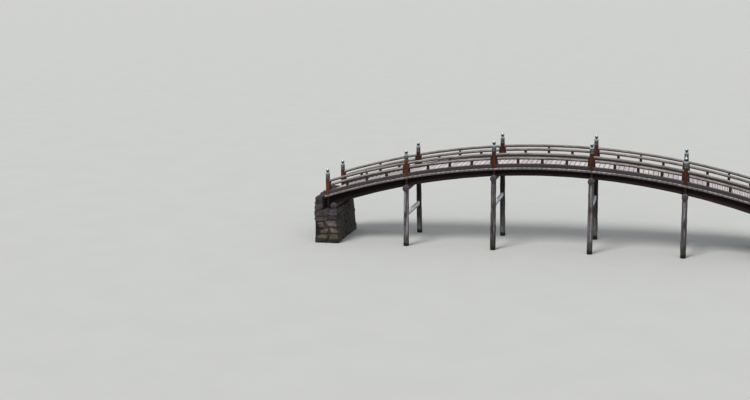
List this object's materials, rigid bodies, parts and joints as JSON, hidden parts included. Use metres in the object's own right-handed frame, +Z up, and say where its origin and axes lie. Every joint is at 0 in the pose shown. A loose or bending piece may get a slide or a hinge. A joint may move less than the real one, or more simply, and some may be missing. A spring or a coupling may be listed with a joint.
{
  "type": "moon bridge",
  "caption": "Arched timber footbridge in the Japanese style: round pile bents, curved girders and plank deck, railings with metal-capped posts, and stone abutments.",
  "frame": {"origin": "centre of the bridge in plan, at the level of the feet of the piles and abutments, which is the water's surface", "axes": "+X along the bridge, +Y across it, +Z up"},
  "size_m": [21.94, 3.5522, 5.189],
  "materials": {
    "post_wood": "weathered red-brown paint on timber, matte",
    "cap_metal": "weathered bronze with a blue-grey patina",
    "sill_wood": "weathered grey-brown timber, matte",
    "rail_wood": "weathered light grey timber, matte",
    "strut_wood": "weathered dark red-brown timber, matte",
    "deck_wood": "bleached pinkish-grey planks, matte",
    "girder_wood": "blackened timber, matte",
    "pile_wood": "barked logs, purplish grey, matte",
    "log_wood": "barked logs, purplish grey, matte",
    "tie_wood": "bleached grey timber, matte",
    "abutment_stone": "rough fieldstone, greyish purple, matte"
  },
  "bodies": {
    "root": {"abutment_left": "abutment_stone", "abutment_right": "abutment_stone", "bearing_log_left": "log_wood", "bearing_log_right": "log_wood", "crossbeam_1": "log_wood", "crossbeam_2": "log_wood", "crossbeam_3": "log_wood", "crossbeam_4": "log_wood", "deck": "deck_wood", "girder_far": "girder_wood", "girder_middle": "girder_wood", "girder_near": "girder_wood", "lower_rail_far": "rail_wood", "lower_rail_near": "rail_wood", "pile_1_far": "pile_wood", "pile_1_near": "pile_wood", "pile_2_far": "pile_wood", "pile_2_near": "pile_wood", "pile_3_far": "pile_wood", "pile_3_near": "pile_wood", "pile_4_far": "pile_wood", "pile_4_near": "pile_wood", "post_1_far": "post_wood", "post_1_near": "post_wood", "post_2_far": "post_wood", "post_2_near": "post_wood", "post_3_far": "post_wood", "post_3_near": "post_wood", "post_4_far": "post_wood", "post_4_near": "post_wood", "post_5_far": "post_wood", "post_5_near": "post_wood", "post_6_far": "post_wood", "post_6_near": "post_wood", "post_caps_far": "cap_metal", "post_caps_near": "cap_metal", "sill_far": "sill_wood", "sill_near": "sill_wood", "struts_far": "strut_wood", "struts_near": "strut_wood", "tie_1": "tie_wood", "tie_2": "tie_wood", "tie_3": "tie_wood", "tie_4": "tie_wood", "top_rail_far": "rail_wood", "top_rail_near": "rail_wood"}
  },
  "joints": []
}
